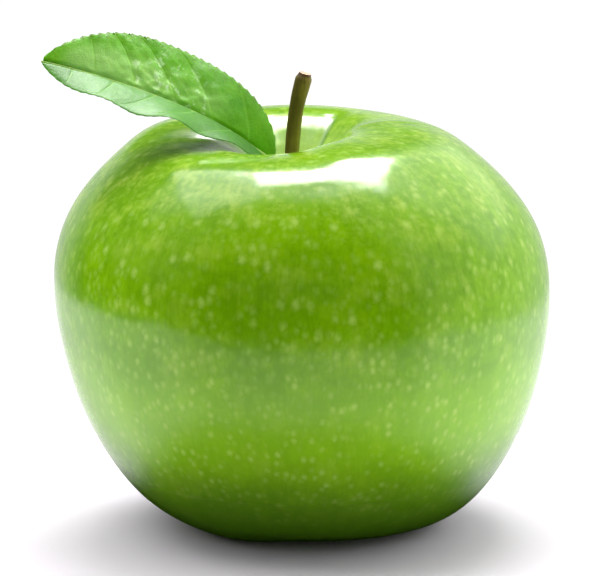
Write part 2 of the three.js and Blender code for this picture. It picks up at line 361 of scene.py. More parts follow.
def fruitTree(skin):
    tree, outline, size = geometryTree("ribbedFruit", fruit["sizes"])
    cells = {"Vertices X": fruit["spokes"] + 1, "Vertices Y": fruit["rings"] + 1}
    grid = add(tree, "GeometryNodeMeshGrid", {"Size X": 1.0, "Size Y": 1.0, **cells})
    here = tree.nodes.new("GeometryNodeInputPosition").outputs[0]
    gridX, gridY, _ = parts(tree, here)
    turn = gridX + 0.5
    drop = gridY + 0.5
    sample = add(tree, "GeometryNodeSampleCurve", {"Curves": outline, "Factor": drop}, mode="FACTOR")
    r, _, z = parts(tree, sample.outputs["Position"])
    angle = turn * (2 * math.pi)
    cosine, sine = angle.math("COSINE"), angle.math("SINE")
    ribTurn = (turn - size["Rib start"] / (2 * math.pi)).math("FRACT")
    isCrown = z.math("GREATER_THAN", size["Girth height"])
    atCrown = r.bump(size["Crest radius"], size["Crown spread"]) * isCrown
    atMouth = r.bump(size["Mouth radius"], size["Mouth spread"]) * isCrown
    atBase = r.bump(size["Base radius"], size["Base spread"]) * z.math("LESS_THAN", size["Girth height"] / 2)
    sink = aroundCurve(tree, ribTurn, fruit["crownSinks"]) * atCrown
    offCore = (r / size["Mouth fade"]).math("MINIMUM", 1.0)
    draw = aroundCurve(tree, ribTurn, fruit["mouthDraws"]) * atMouth * offCore
    # a sharp fold runs up the cavity's wall
    onWall = r.bump(size["Fold radius"], size["Fold length"]) * isCrown
    sink = sink + angle.bump(size["Fold heading"], size["Fold width"]) * onWall * size["Fold depth"]
    rise = aroundCurve(tree, ribTurn, fruit["baseRises"]) * atBase
    belly = z.bump(size["Girth height"], size["Belly spread"])
    ribs = ((angle - size["Rib start"]) * 5).math("COSINE") * size["Rib swell"]
    ribs = ribs * belly * (r / size["Girth radius"])
    lean = size["Lean at table"] + z * size["Lean per metre"]
    wander = noiseAt(tree, joined(tree, cosine * r, sine * r, z), fruit["wanderCells"]) - 0.5
    lump = wander * size["Unevenness"] * 2 * r.ease(*fruit["smoothRadii"])
    # two creases to a rib run down the wall of the basin
    crease = ((angle - size["Rib start"]) * 10 + wander * 6).math("COSINE") * size["Basin creases"]
    inBasin = z.math("LESS_THAN", size["Basin top"]) * r.bump(size["Basin radius"], size["Basin spread"])
    offPole = r.ease(0.0, fruit["poleRadius"])
    radius = r + ribs + lump - draw
    height = (z + (rise - sink + crease * inBasin + lump * atCrown) * offPole).math("MAXIMUM", 0.0)
    # where a point lies on the skin: round the core, and down the outline
    place = joined(tree, cosine, sine, drop)
    told = stored(tree, grid.outputs["Mesh"], "skinPlace", place, "FLOAT_VECTOR")
    moved = moveTo(tree, told, joined(tree, radius * cosine + lean, radius * sine, height))
    near = {"Geometry": moved, "Distance": fruit["weldDistance"]}
    welded = add(tree, "GeometryNodeMergeByDistance", near)
    turned = add(tree, "GeometryNodeFlipFaces", {"Mesh": welded.outputs[0]})
    closeTree(tree, turned.outputs[0], skin)
    return tree


def fruitOutline():
    points, handles = [], []
    for radius, height, heading, before, after in fruit["outline"]:
        along = Vector((math.cos(math.radians(heading)), 0, math.sin(math.radians(heading))))
        place = Vector((radius, 0, height))
        points.append(place * mm)
        handles.append(((place - along * before) * mm, (place + along * after) * mm))
    return splineObject("fruitOutline", "BEZIER", points, handles)


def dotsOn(tree, vector, ragged, cell, inner, outer, weight):
    spots = add(tree, "ShaderNodeTexVoronoi", {"Vector": vector, "Scale": 1 / cell, "Randomness": 1.0})
    chance, _, _ = parts(tree, spots.outputs["Color"])
    away = Wire(tree, spots.outputs["Distance"]) + (ragged - 0.5) * fruit["dotRaggedness"]
    shape = away.ease(inner, outer, 1.0, 0.0)
    return shape * chance.ease(0.0, 0.8, 0.2, 1.0) * weight


def skinGround(tree, height, noises):  # from deep to fresh green, with a paler band under the girth
    # the green is fresher higher up, a painted light from above
    mix = height.ease(*fruit["freshHeights"]) * 0.17 + 0.3
    for grain, weight in zip(noises, fruit["toneWeights"]):
        mix = mix + (grain - 0.5) * weight
    ground = mixColour(mix.ease(0.0, 1.0), fruit["deep"], fruit["fresh"])
    blotch = noises[-1]
    # the paler band under the girth is painted light, the glow of the table on the lower cheek
    band = height.bump(fruit["bandMiddle"], fruit["bandSpread"]) + (blotch - 0.5) * 0.4
    return mixColour(band.ease(0.2, 1.0) * 0.35, ground, fruit["band"])


def skinHaze(tree, here, height, streaks):  # pale clouds, and a fine speckle towards the crown
    clouds = noiseAt(tree, here, fruit["cloudCells"], 3.0, 0.6)
    haze = (clouds + (streaks - 0.5) * 0.35).ease(0.5, 0.68)
    haze = haze * height.ease(*fruit["hazeHeights"], 0.4, 1.0)
    speckle = noiseAt(tree, here, fruit["speckleCells"], 3.0, 0.6)
    speckled = (speckle + (clouds - 0.5) * 0.3).ease(0.47, 0.64)
    speckled = speckled * height.ease(*fruit["speckleHeights"])
    return haze * 0.3 + speckled * 0.3


def skinDots(tree, here, blotch):  # large and soft above the girth, small and crisper below it
    x, y, height = parts(tree, here)
    squashed = joined(tree, x, y, height * fruit["dotSquash"])
    ragged = noiseAt(tree, here, fruit["raggedCells"], 2.0, 0.6)
    large = dotsOn(tree, squashed, ragged, *fruit["largeDots"])
    large = large * height.ease(*fruit["largeDotHeights"], 0.15, 1.0)
    small = dotsOn(tree, squashed, ragged, *fruit["smallDots"])
    small = small * height.ease(*fruit["smallDotHeights"], 1.0, 0.3)
    return large.math("MAXIMUM", small) * blotch.ease(0.3, 0.6, 0.6, 1.1)


# where a painted shade darkens the sharp fold of the cavity's wall
def paintedFoldShade(tree, cosine, sine, drop):  # 1 in the sharp fold of the cavity's wall
    turn = sine.math("ARCTAN2", cosine)
    line = turn.bump(fruit["sizes"]["Fold heading"], fruit["creaseWidth"])
    return line * drop.ease(*fruit["creaseStart"]) * drop.ease(*fruit["creaseEnd"], 1.0, 0.0)


def skinMaterial():
    material, tree, surface = newMaterial("appleSkin")
    place = add(tree, "ShaderNodeAttribute", attribute_name="skinPlace").outputs["Vector"]
    here = add(tree, "ShaderNodeTexCoord").outputs["Object"]
    cosine, sine, drop = parts(tree, place)
    x, y, height = parts(tree, here)

    def onSkin(cells):  # a place for noise that runs from stem to base
        aroundCore, down = cells
        return joined(tree, cosine * aroundCore, sine * aroundCore, drop * down)

    streaks = noiseAt(tree, onSkin(fruit["streakCells"]), 1.0, 3.0, 0.6)
    flecks = noiseAt(tree, onSkin(fruit["fleckCells"]), 1.0, 2.0, 0.5)
    mottle = noiseAt(tree, here, fruit["mottleCells"], 3.0, 0.55)
    blotch = noiseAt(tree, here, fruit["blotchCells"], 3.0, 0.55)
    ground = skinGround(tree, height, (streaks, flecks, mottle, blotch))
    hazed = mixColour(skinHaze(tree, here, height, streaks), ground, fruit["haze"])
    dots = skinDots(tree, here, blotch)
    coloured = mixColour(dots, hazed, fruit["pale"])
    # deeper green towards the foot, a painted shade at the base, but not in the basin
    outside = (x * x + y * y).math("SQRT").ease(*fruit["basinRadii"])
    paintedFootShade = height.ease(*fruit["footHeights"], 0.92, 0.0) * outside
    coloured = mixColour(paintedFootShade, coloured, fruit["foot"])
    # the cavity is painted paler, a painted light on its wall, and russet close to the stem
    cavity = drop.ease(*fruit["cavityDrops"], 1.0, 0.0)
    russet = (drop + (streaks - 0.5) * 0.1).ease(*fruit["russetDrops"], 1.0, 0.0)
    coloured = mixColour(cavity * 0.85, coloured, fruit["cavity"])
    coloured = mixColour(russet * 0.6, coloured, fruit["russet"])
    # a painted shade along the sharp fold of the cavity's wall
    coloured = mixColour(paintedFoldShade(tree, cosine, sine, drop) * 0.8, coloured, fruit["crease"])
    # glossy, with an even satin foot
    uneven = (dots * 0.08 + (mottle - 0.5) * 0.05) * height.ease(*fruit["unevenHeights"])
    satin = height.ease(*fruit["satinHeights"], 0.15, 0.0)
    rough = fruit["roughness"] + uneven + russet * 0.3 + cavity * 0.16 + satin
    # the wax is slightly wavy, and smooth towards the foot
    waves = noiseAt(tree, here, fruit["waveCells"], 2.0, 0.5)
    waxy = (mottle * 0.5 + flecks * 0.3 - dots * 0.4) * 0.3 + waves * 1.6
    waxy = waxy * height.ease(*fruit["waveHeights"])
    normal = bumped(tree, fruit["relief"], waxy)
    settle(tree, surface, {"Base Color": coloured, "Roughness": rough, "Normal": normal, **fruit["surface"]})
    return material


def makeFruit():
    tree = fruitTree(skinMaterial())
    piece = grown(fruitOutline(), tree, fruit["sizes"], "appleFruit")
    rides(piece, "fruit")


# the stem: a woody tube along a bent line
stem = {
    # millimetres, from inside the cavity to the cut end
    "points": (
        (-0.75, 0.1, 48.6),
        (-0.95, 0.1, 55.0),
        (-0.95, 0.0, 61.5),
        (-0.15, -0.1, 68.6),
        (1.1, -0.3, 73.6),
    ),
    "sides": 48,
    "rings": 160,
    "sizes": {
        "Foot radius": 1.55 * mm,
        "Waist radius": 1.16 * mm,
        "Top radius": 1.36 * mm,
        "Ridge height": 0.05 * mm,
    },
    "lineSteps": 12,  # between one given point and the next
    "waistShares": (0.0, 0.4),  # shares of its length, from the foot up
    "knobShares": (0.72, 1.0),
    "rimShares": (0.955, 1.0),
    "rimRounding": 0.72,
    "cutShares": (0.975, 0.995),
    "surface": {"Roughness": 0.55},
    # cells of noise to the metre, across the stem and along it
    "ridgeCells": (2400, 260),
    "fibreCells": (2600, 240),
    "swellCells": 420.0,
    "patchCells": 500.0,
    "relief": (0.6, 0.1 * mm),  # strength and depth
    "bark": (124, 110, 18),
    "barkDark": (86, 72, 10),
    "barkGreen": (124, 140, 24),
    "cut": (190, 156, 116),
    "cutRing": (84, 46, 26),
}


def throughPoints(points, steps):  # a smooth run through the points, as a centripetal Catmull-Rom spline
    given = [np.array(p, float) for p in points]
    given = [2 * given[0] - given[1], *given, 2 * given[-1] - given[-2]]
    run = []
    for a, b, c, d in zip(given, given[1:], given[2:], given[3:]):
        k0 = 0.0
        k1 = k0 + np.linalg.norm(b - a) ** 0.5
        k2 = k1 + np.linalg.norm(c - b) ** 0.5
        k3 = k2 + np.linalg.norm(d - c) ** 0.5
        for t in np.linspace(k1, k2, steps, endpoint=False):
            ab = (k1 - t) / (k1 - k0) * a + (t - k0) / (k1 - k0) * b
            bc = (k2 - t) / (k2 - k1) * b + (t - k1) / (k2 - k1) * c
            cd = (k3 - t) / (k3 - k2) * c + (t - k2) / (k3 - k2) * d
            abc = (k2 - t) / (k2 - k0) * ab + (t - k0) / (k2 - k0) * bc
            bcd = (k3 - t) / (k3 - k1) * bc + (t - k1) / (k3 - k1) * cd
            run.append((k2 - t) / (k2 - k1) * abc + (t - k1) / (k2 - k1) * bcd)
    return [*run, given[-2]]


def stemTree(bark):
    tree, line, size = geometryTree("woodyStem", stem["sizes"])
    even = add(tree, "GeometryNodeResampleCurve", {"Curve": line, "Count": stem["rings"]})
    along = Wire(tree, tree.nodes.new("GeometryNodeSplineParameter").outputs["Factor"])
    waist = along.ease(*stem["waistShares"])
    knob = along.ease(*stem["knobShares"])
    thick = size["Foot radius"] + (size["Waist radius"] - size["Foot radius"]) * waist
    thick = thick + (size["Top radius"] - size["Waist radius"]) * knob
    thick = thick * along.ease(*stem["rimShares"], 1.0, stem["rimRounding"])
    told = stored(tree, even.outputs[0], "stemAlong", along, "FLOAT")
    sized = add(tree, "GeometryNodeSetCurveRadius", {"Curve": told, "Radius": thick}).outputs[0]
    ring = add(tree, "GeometryNodeCurvePrimitiveCircle", {"Resolution": stem["sides"], "Radius": 1.0})
    profile = {"Profile Curve": ring.outputs["Curve"], "Fill Caps": True, "Scale": thick}
    skinned = add(tree, "GeometryNodeCurveToMesh", {"Curve": sized, **profile})
    here = tree.nodes.new("GeometryNodeInputPosition").outputs[0]
    x, y, z = parts(tree, here)
    across, down = stem["ridgeCells"]
    grain = noiseAt(tree, joined(tree, x * across, y * across, z * down), 1.0, 3.0, 0.6) - 0.5
    swell = noiseAt(tree, here, stem["swellCells"]) - 0.5
    normal = tree.nodes.new("GeometryNodeInputNormal").outputs[0]
    ridges = (grain * 2.4 + swell * 1.6) * size["Ridge height"]
    offset = add(tree, "ShaderNodeVectorMath", {0: normal, "Scale": ridges}, operation="SCALE")
    closeTree(tree, moveBy(tree, skinned.outputs[0], offset.outputs[0]), bark)
    return tree


def barkMaterial():
    material, tree, surface = newMaterial("stemBark")
    here = add(tree, "ShaderNodeTexCoord").outputs["Object"]
    along = Wire(tree, add(tree, "ShaderNodeAttribute", attribute_name="stemAlong").outputs["Fac"])
    nx, _, nz = parts(tree, add(tree, "ShaderNodeNewGeometry").outputs["Normal"])
    x, y, z = parts(tree, here)
    across, down = stem["fibreCells"]
    fibres = noiseAt(tree, joined(tree, x * across, y * across, z * down), 1.0, 4.0, 0.65)
    patches = noiseAt(tree, here, stem["patchCells"], 3.0, 0.6)
    # the bark is lighter where its normal faces +x, a painted light on its right side
    tone = (fibres * 0.6 + patches * 0.5 + nx * 0.25).ease(0.3, 0.85)
    base = mixColour(tone, stem["barkDark"], stem["bark"])
    # greener low down, and greener on the right by its normal, which is painted light
    green = (nx * 0.4 + 0.5 - along * 0.8 + patches * 0.3).ease(0.3, 0.9) * 0.75
    base = mixColour(green, base, stem["barkGreen"])
    # the cut end is pale wood with a dark rim
    atEnd = along.ease(*stem["cutShares"])
    facing = nz.ease(0.75, 0.9)
    base = mixColour(atEnd * 0.8, base, stem["cutRing"])
    base = mixColour(atEnd * facing * patches.ease(0.3, 0.6, 0.6, 1.0), base, stem["cut"])
    normal = bumped(tree, stem["relief"], fibres + patches * 0.5)
    settle(tree, surface, {"Base Color": base, "Normal": normal, **stem["surface"]})
    return material


def makeStem():
    run = [Vector(p) * mm for p in throughPoints(stem["points"], stem["lineSteps"])]
    tree = stemTree(barkMaterial())
    piece = grown(splineObject("stemLine", "POLY", run), tree, stem["sizes"], "appleStem")
    rides(piece, "stem")


# the leaf: a stalk that becomes the rib, and a folded, rolled and toothed blade
leaf = {
    # places, lengths and widths in millimetres, turns in radians
    "stalkFoot": (-3.0, -0.6, 50.8),
    "stalkTop": (-3.4, 0.0, 56.0),
    "ribRise": (-4.0, 1.0, 64.5),
    "ribArch": (-30.2, -5.6, 74.4),
    "ribTip": (-40.7, -5.0, 76.4),
    "stalkShare": 0.166,
    "stalkRadius": 0.62,
    "ribTipRadius": 0.16,
    "thickness": 0.36,
    "farWidth": 10.8,
    "nearWidth": 9.2,
    "widthPowers": (0.65, 0.72),
    "roll": (0.68, 0.29, 0.86),  # at the base, middle and tip
    "fold": (0.39, 0.3, 0.19),
    "farWave": (0.25, 1.4, 0.18),  # height, waves, start
    "nearWave": (0.59, 3.6, 0.51),
    "teeth": 32,
    "toothDepth": 0.38,
    "toothFullWidth": 4.0,  # the teeth are shallower where the blade is narrower than this
    "toothPeak": 0.75,  # share of a tooth before its point
    "toothRoundness": 0.8,
    "toothReach": 18,  # the higher, the closer the teeth keep to the margin
    "nearToothShare": 0.5,
    "rowsPerTooth": 8,
    "cellsPerHalf": 26,
    "cellPower": 1.25,  # cells are narrower next to the rib
    "ends": (0.004, 0.994),
    "marginThinning": 0.75,
    "veins": 6,
    "bladeLength": 41.0,  # along the rib, which the veins share out
    "veinAdvance": 0.36,
    "veinSweep": 1.35,
    "veinWidth": 0.26,
    "veinGroove": 0.07,
    "veinRidge": 0.16,  # under the blade
    "ribWidth": 0.34,
    "quiltWidth": 1.2,
    "farQuilt": 0.26,
    "nearQuilt": 0.07,
    "wrinkles": (0.5, 0.22, 0.3, 2.8, 0.4),  # middle, spread, least and rise, and on the near half
    "crinkle": 0.12,
    "crinkleCells": (0.5, 1.0),  # to the millimetre
    "ribGroove": 0.3,
    "ribSides": 14,
    "ribRings": 220,
    # colours as they look on screen
    "deep": (76, 150, 1),
    "fresh": (106, 178, 8),
    "near": (58, 126, 5),
    "nearFoot": (40, 104, 1),
    "pale": (166, 214, 118),
    # painted highlights on the wrinkles next to the rib
    "wrinkleGlint": (212, 240, 190),
    "vein": (140, 206, 56),
    "edge": (58, 122, 8),
    # rib: painted shade in the fold along the rib
    "rib": (64, 118, 24),
    "under": (142, 178, 112),
    "underVein": (180, 206, 146),
    "stalk": (140, 176, 76),
    "tooth": (92, 74, 30),
    "netSize": 0.75 * mm,
    # cells of noise to the metre
    "broadCells": 90.0,
    "mottleCells": 300.0,
    "ridgeCells": 520.0,
    "relief": (0.35, 0.1 * mm),  # strength and depth
    "surface": {
        "Specular IOR Level": 0.19,
        "Subsurface Weight": 0.3,
        "Subsurface Radius": (0.4, 1.0, 0.1),
        "Subsurface Scale": 0.6 * mm,
    },
}


def mixThree(values, share):
    a, b, c = values
    return a * (1 - share) ** 2 + 2 * b * share * (1 - share) + c * share**2


def ribLine(steps=600):  # points evenly spaced along the stalk and rib
    names = ("stalkFoot", "stalkTop", "ribRise", "ribArch", "ribTip")
    foot, top, rise, arch, tip = (np.array(leaf[name]) for name in names)
    t = np.linspace(0, 1, 2000)[:, None]
    straight = foot + (top - foot) * t[:-1]
    bent = (1 - t) ** 3 * top + 3 * (1 - t) ** 2 * t * rise + 3 * (1 - t) * t**2 * arch + t**3 * tip
    run = np.vstack([straight, bent])
    travelled = np.concatenate([[0], np.cumsum(np.linalg.norm(np.diff(run, axis=0), axis=1))])
    even = np.linspace(0, travelled[-1], steps)
    return np.stack([np.interp(even, travelled, run[:, i]) for i in range(3)], axis=1)


def alongRib(line, share):  # places and directions on the line at shares of its length
    at = np.clip(share, 0, 1) * (len(line) - 1)
    steps = np.arange(len(line))
    slope = np.gradient(line, axis=0)
    slope /= np.linalg.norm(slope, axis=1)[:, None]
    place = np.stack([np.interp(at, steps, line[:, i]) for i in range(3)], axis=-1)
    heading = np.stack([np.interp(at, steps, slope[:, i]) for i in range(3)], axis=-1)
    return place, heading / np.linalg.norm(heading, axis=-1, keepdims=True)


def bladeGrid():  # for each point of the blade: row, side, share of the half's width, share of the length
    rows = leaf["teeth"] * leaf["rowsPerTooth"]
    half = leaf["cellsPerHalf"]
    start = np.linspace(*leaf["ends"], rows + 1)[:, None]
    reach = (np.arange(-half, half + 1) / half)[None, :]
    side = np.sign(reach)
    out = np.abs(reach) ** leaf["cellPower"]
    # rows run forward towards the margin, as the side veins do
    advance = leaf["veinAdvance"] * np.sin(math.pi * start) * out ** leaf["veinSweep"]
    share = np.clip(start + advance * (1 - start), *leaf["ends"])
    return start, side, out, share


def bladeWidth(side, share):
    rise, fall = leaf["widthPowers"]
    peak = rise / (rise + fall)
    shape = share**rise * (1 - share) ** fall / (peak**rise * (1 - peak) ** fall)
    return np.where(side > 0, leaf["farWidth"], leaf["nearWidth"]) * shape


def bladeSheet(line):  # the middle sheet of the blade, with what lies at each of its points
    start, side, out, share = bladeGrid()
    width = bladeWidth(side, share)
    place, forward = alongRib(line, leaf["stalkShare"] + (1 - leaf["stalkShare"]) * share)
    across = np.stack([forward[..., 1], -forward[..., 0], 0 * forward[..., 0]], axis=-1)
    across /= np.linalg.norm(across, axis=-1, keepdims=True)
    up = np.cross(forward, across)
    up *= np.sign(up[..., 2:3])
    saw = (share * leaf["teeth"]) % 1.0
    peak = leaf["toothPeak"]
    tooth = np.where(saw < peak, saw / peak, (1 - saw) / (1 - peak)) ** leaf["toothRoundness"]
    depth = leaf["toothDepth"] * np.minimum(1, width / leaf["toothFullWidth"])
    depth = depth * np.where(side > 0, 1.0, leaf["nearToothShare"])
    wide = out * width - depth * (1 - tooth) * out ** leaf["toothReach"]
    roll = mixThree(leaf["roll"], share)
    fold = mixThree(leaf["fold"], share)
    tilt = np.where(side > 0, roll + fold, fold - roll)
    waves = (leaf["farWave"], leaf["nearWave"])
    waved = [high * np.sin(2 * math.pi * (count * share + begin)) for high, count, begin in waves]
    lift = np.where(side > 0, *waved) * np.sin(math.pi * share) * out**2
    sheet = place + across * (side * wide * np.cos(tilt))[..., None]
    sheet = sheet + up * (wide * np.sin(tilt) + lift)[..., None]
    told = bladeMarks(start, side, out, share, width, wide)
    told["tip"] = out**10 * tooth**3
    return sheet, {name: value + 0 * share for name, value in told.items()}


def bladeMarks(start, side, out, share, width, wide):  # veins, rib, quilting and wrinkles
    # side veins lie along the rows of the sheet, half a step apart on the two halves
    beat = start * leaf["veins"] + np.where(side > 0, 0.0, 0.5) + 0.25
    gap = np.abs(beat - np.round(beat)) * (leaf["bladeLength"] / leaf["veins"])
    veinWidth = leaf["veinWidth"] * (1 - 0.6 * out)
    vein = np.exp(-((gap / veinWidth) ** 2)) * (1 - out**6) * np.minimum(1, width / 3)
    puff = 1 - np.exp(-((gap / leaf["quiltWidth"]) ** 2))
    quilt = puff * np.sin(math.pi * out) ** 0.7 * np.minimum(1, width / 6)
    # the far half wrinkles next to the rib, in the middle of the blade
    middle, spread, least, rise, onNear = leaf["wrinkles"]
    wrinkled = np.exp(-(((share - middle) / spread) ** 2)) * (1 - out) ** 0.7
    return {
        "vein": vein,
        "rib": np.exp(-((wide / leaf["ribWidth"]) ** 2)),
        "quilt": (quilt - 0.5) * np.where(side > 0, leaf["farQuilt"], leaf["nearQuilt"]),
        "out": out,
        "share": share,
        "width": width,
        "wrinkled": np.where(side > 0, least + rise * wrinkled, onNear),
        "far": (side > 0) * 1.0,
    }


def sheetNormals(sheet):
    alongRows = np.gradient(sheet, axis=0)
    acrossRows = np.gradient(sheet, axis=1)
    normal = np.cross(alongRows, acrossRows)
    normal /= np.linalg.norm(normal, axis=-1, keepdims=True)
    return normal * np.sign(normal[..., 2].mean())


def crinkle(sheet):  # fine unevenness between the veins
    flat = sheet.reshape(-1, 3)
    coarse, fine = leaf["crinkleCells"]
    values = [noise.noise(Vector(p) * coarse) + 0.6 * noise.noise(Vector(p) * fine) for p in flat]
    return np.array(values).reshape(sheet.shape[:2])


def bladeMesh(line):
    sheet, at = bladeSheet(line)
    normal = sheetNormals(sheet)
    fine = crinkle(sheet) * leaf["crinkle"] * np.minimum(1, at["width"] / 4)
    fine = fine * (1 - at["rib"]) * at["wrinkled"]
    relief = at["quilt"] - leaf["veinGroove"] * at["vein"] + fine
    groove = leaf["ribGroove"] * at["rib"]
    thin = leaf["thickness"] * (1 - leaf["marginThinning"] * at["out"] ** 4) / 2
    top = sheet + normal * (relief - groove + thin)[..., None]
    bottom = sheet + normal * (relief - groove * 0.3 - thin - leaf["veinRidge"] * at["vein"])[..., None]
    rows, wide = sheet.shape[:2]
    points = np.vstack([top.reshape(-1, 3), bottom.reshape(-1, 3)])
    under = rows * wide
    faces = []
    for row in range(rows - 1):
        for i in range(wide - 1):
            a = row * wide + i
            faces.append((a, a + 1, a + wide + 1, a + wide))
            faces.append((under + a, under + a + wide, under + a + wide + 1, under + a + 1))
    loop = [*range(wide), *(r * wide + wide - 1 for r in range(1, rows))]
    loop += [(rows - 1) * wide + i for i in range(wide - 2, -1, -1)]
    loop += [r * wide for r in range(rows - 2, 0, -1)]
    for a, b in zip(loop, loop[1:] + loop[:1]):
        faces.append((b, a, under + a, under + b))
    names = ("vein", "rib", "out", "share", "tip", "wrinkled", "far")
    told = {name: np.concatenate([at[name].ravel()] * 2) for name in names}
    told["top"] = np.concatenate([np.ones(under), np.zeros(under)])
    return points, faces, told


def ribMesh(line):  # the stalk, and the rib that stands out under the blade
    sides, steps = leaf["ribSides"], leaf["ribRings"]
    share = np.linspace(0, 1, steps + 1)
    place, forward = alongRib(line, share)
    radius = leaf["stalkRadius"] + (leaf["ribTipRadius"] - leaf["stalkRadius"]) * share**1.5
    across = np.cross(np.cross(forward, (0, -1, 0.25)), forward)
    across /= np.linalg.norm(across, axis=1)[:, None]
    up = np.cross(across, forward)
    lower = np.clip((share - leaf["stalkShare"]) / 0.1, 0, 1)
    lower = lower * lower * (3 - 2 * lower)
    place = place - np.sign(up[:, 2:3]) * up * (radius * lower)[:, None]
    points, faces = [place[0]], []
    angles = np.linspace(0, 2 * math.pi, sides, endpoint=False)
    for i in range(steps + 1):
        ring = [math.cos(angle) * across[i] + math.sin(angle) * up[i] for angle in angles]
        points += [place[i] + radius[i] * spoke for spoke in ring]
    points.append(place[-1])
    for j in range(sides):
        k = (j + 1) % sides
        faces.append((0, 1 + k, 1 + j))
        for i in range(steps):
            a, b = 1 + i * sides, 1 + (i + 1) * sides
            faces.append((a + j, a + k, b + k, b + j))
        faces.append((len(points) - 1, 1 + steps * sides + j, 1 + steps * sides + k))
    count = len(points)
    shares = np.concatenate([[0], np.repeat(share, sides), [1]])
    told = {name: np.zeros(count) for name in ("vein", "out", "tip", "top", "wrinkled", "far")}
    return np.array(points), faces, {**told, "rib": np.ones(count), "share": shares}


def leafMaterial():
    material, tree, surface = newMaterial("leafBlade")
    here = add(tree, "ShaderNodeTexCoord").outputs["Object"]
    told = {
        name: Wire(tree, add(tree, "ShaderNodeAttribute", attribute_name=name).outputs["Fac"])
        for name in ("vein", "rib", "out", "share", "top", "tip", "wrinkled", "far")
    }
    cells = {"Vector": here, "Scale": 1 / leaf["netSize"]}
    net = add(tree, "ShaderNodeTexVoronoi", cells, feature="DISTANCE_TO_EDGE")
    threads = Wire(tree, net.outputs["Distance"]).ease(0.0, 0.16, 1.0, 0.0)
    mottle = noiseAt(tree, here, leaf["mottleCells"], 3.0, 0.6)
    broad = noiseAt(tree, here, leaf["broadCells"])
    shade = (mottle * 0.5 + broad * 0.8).ease(0.4, 0.9)
    upper = mixColour(shade, leaf["deep"], leaf["fresh"])
    # the far half is lighter towards the tip and inside its margin, the near half is deeper
    share, out = told["share"], told["out"]
    inside = (out + (broad - 0.5) * 0.6 - share * 0.5).ease(0.0, 0.5, 1.0, 0.0)
    outer = inside * share.ease(0.3, 0.6) * share.ease(0.86, 0.96, 1.0, 0.0)
    patch = share.bump(0.33, 0.07) * out.bump(0.3, 0.22)
    upper = mixColour((outer * 0.7 + patch * 0.5) * told["far"], upper, leaf["pale"])
    near = mixColour(share.ease(0.15, 0.5), leaf["nearFoot"], leaf["near"])
    upper = mixColour((1 - told["far"]) * 0.9, upper, near)
    # painted highlights: glints on the wrinkles next to the rib
    ridges = noiseAt(tree, here, leaf["ridgeCells"], 3.0, 0.65)
    paintedGlints = ridges.ease(0.54, 0.64) * told["wrinkled"].ease(0.9, 2.0) * told["top"]
    upper = mixColour(paintedGlints * 0.6, upper, leaf["wrinkleGlint"])
    upper = mixColour(threads * 0.12 + told["vein"] * 0.25, upper, leaf["vein"])
    # the rib is painted darker, a painted shade in the fold between the two halves
    upper = mixColour(told["rib"].ease(0.5, 0.95) * 0.7, upper, leaf["rib"])
    lower = mixColour(threads * 0.3 + told["vein"] * 0.6, leaf["under"], leaf["underVein"])
    lower = mixColour(told["rib"], lower, leaf["stalk"])
    colour = mixColour(told["top"], lower, upper)
    margin = out.ease(0.95, 1.0)
    onFar = told["far"] * 0.8 + 0.2
    colour = mixColour(margin * 0.5 * onFar, colour, leaf["edge"])
    colour = mixColour(told["tip"] * onFar, colour, leaf["tooth"])
    rough = 0.4 + (1 - told["top"]) * 0.25 + mottle * 0.1 - told["wrinkled"] * 0.07 + margin * 0.4
    mesh = threads * (1 - told["top"] * 1.6)
    normal = bumped(tree, leaf["relief"], mottle * 0.8 + mesh * 0.5)
    settle(tree, surface, {"Base Color": colour, "Roughness": rough, "Normal": normal, **leaf["surface"]})
    return material


def makeLeaf():
    line = ribLine()
    points, faces, told = bladeMesh(line)
    more, moreFaces, moreTold = ribMesh(line)
    shift = len(points)
    points = np.vstack([points, more]) * mm
    faces = faces + [tuple(i + shift for i in face) for face in moreFaces]
    told = {k: np.concatenate([told[k], moreTold[k]]) for k in told}
    piece = meshObject("appleLeaf", points, faces, leafMaterial(), told)
    rides(piece, "leaf")


# the dried flower: five sepals and a ring of stamens on a small cup
calyx = {
    "lean": 1.676 * mm,
    "firstSepal": math.radians(14),
    "sepals": 5,
    "spine": ((1.3, 7.6), (2.0, 4.2), (3.4, 3.4), (4.8, 3.8)),  # millimetres out and up
    "spineSteps": 12,
    "sepalSeed": 4,
    "sepalSway": 0.16,
    "stamens": 15,
    "stamenSeed": 9,
    "stamenSway": 0.5,
    "stamenRing": 0.9 * mm,
    "stamenHeight": 6.9 * mm,
    "shrivelCells": 650.0,
    "shrivelDepth": 0.7 * mm,
    "sizes": {
        "Cup radius": 2.3 * mm,
        "Cup root": 12.2 * mm,
        "Cup rim": 6.0 * mm,
        "Cup hollow": 1.5 * mm,
        "Sepal half width": 1.45 * mm,
        "Sepal tip": 0.12 * mm,
        "Sepal thickness": 0.42 * mm,
        "Stamen length": 2.4 * mm,
        "Stamen radius": 0.11 * mm,
    },
    "dark": (66, 50, 28),
    "light": (128, 106, 66),
    "patchCells": 900.0,
    "surface": {"Roughness": 0.85},
    "relief": (0.8, 0.15 * mm),  # strength and depth
}


def drawn(tree, seed, sway):  # a random number for each instance, from -sway to sway
    node = add(tree, "FunctionNodeRandomValue", {"Seed": seed}, data_type="FLOAT")
    node.inputs[2].default_value, node.inputs[3].default_value = -sway, sway
    return Wire(tree, node.outputs[1])


def instances(tree, points, one, rotation):
    sockets = {"Points": points, "Instance": one, "Rotation": rotation}
    return add(tree, "GeometryNodeInstanceOnPoints", sockets).outputs[0]


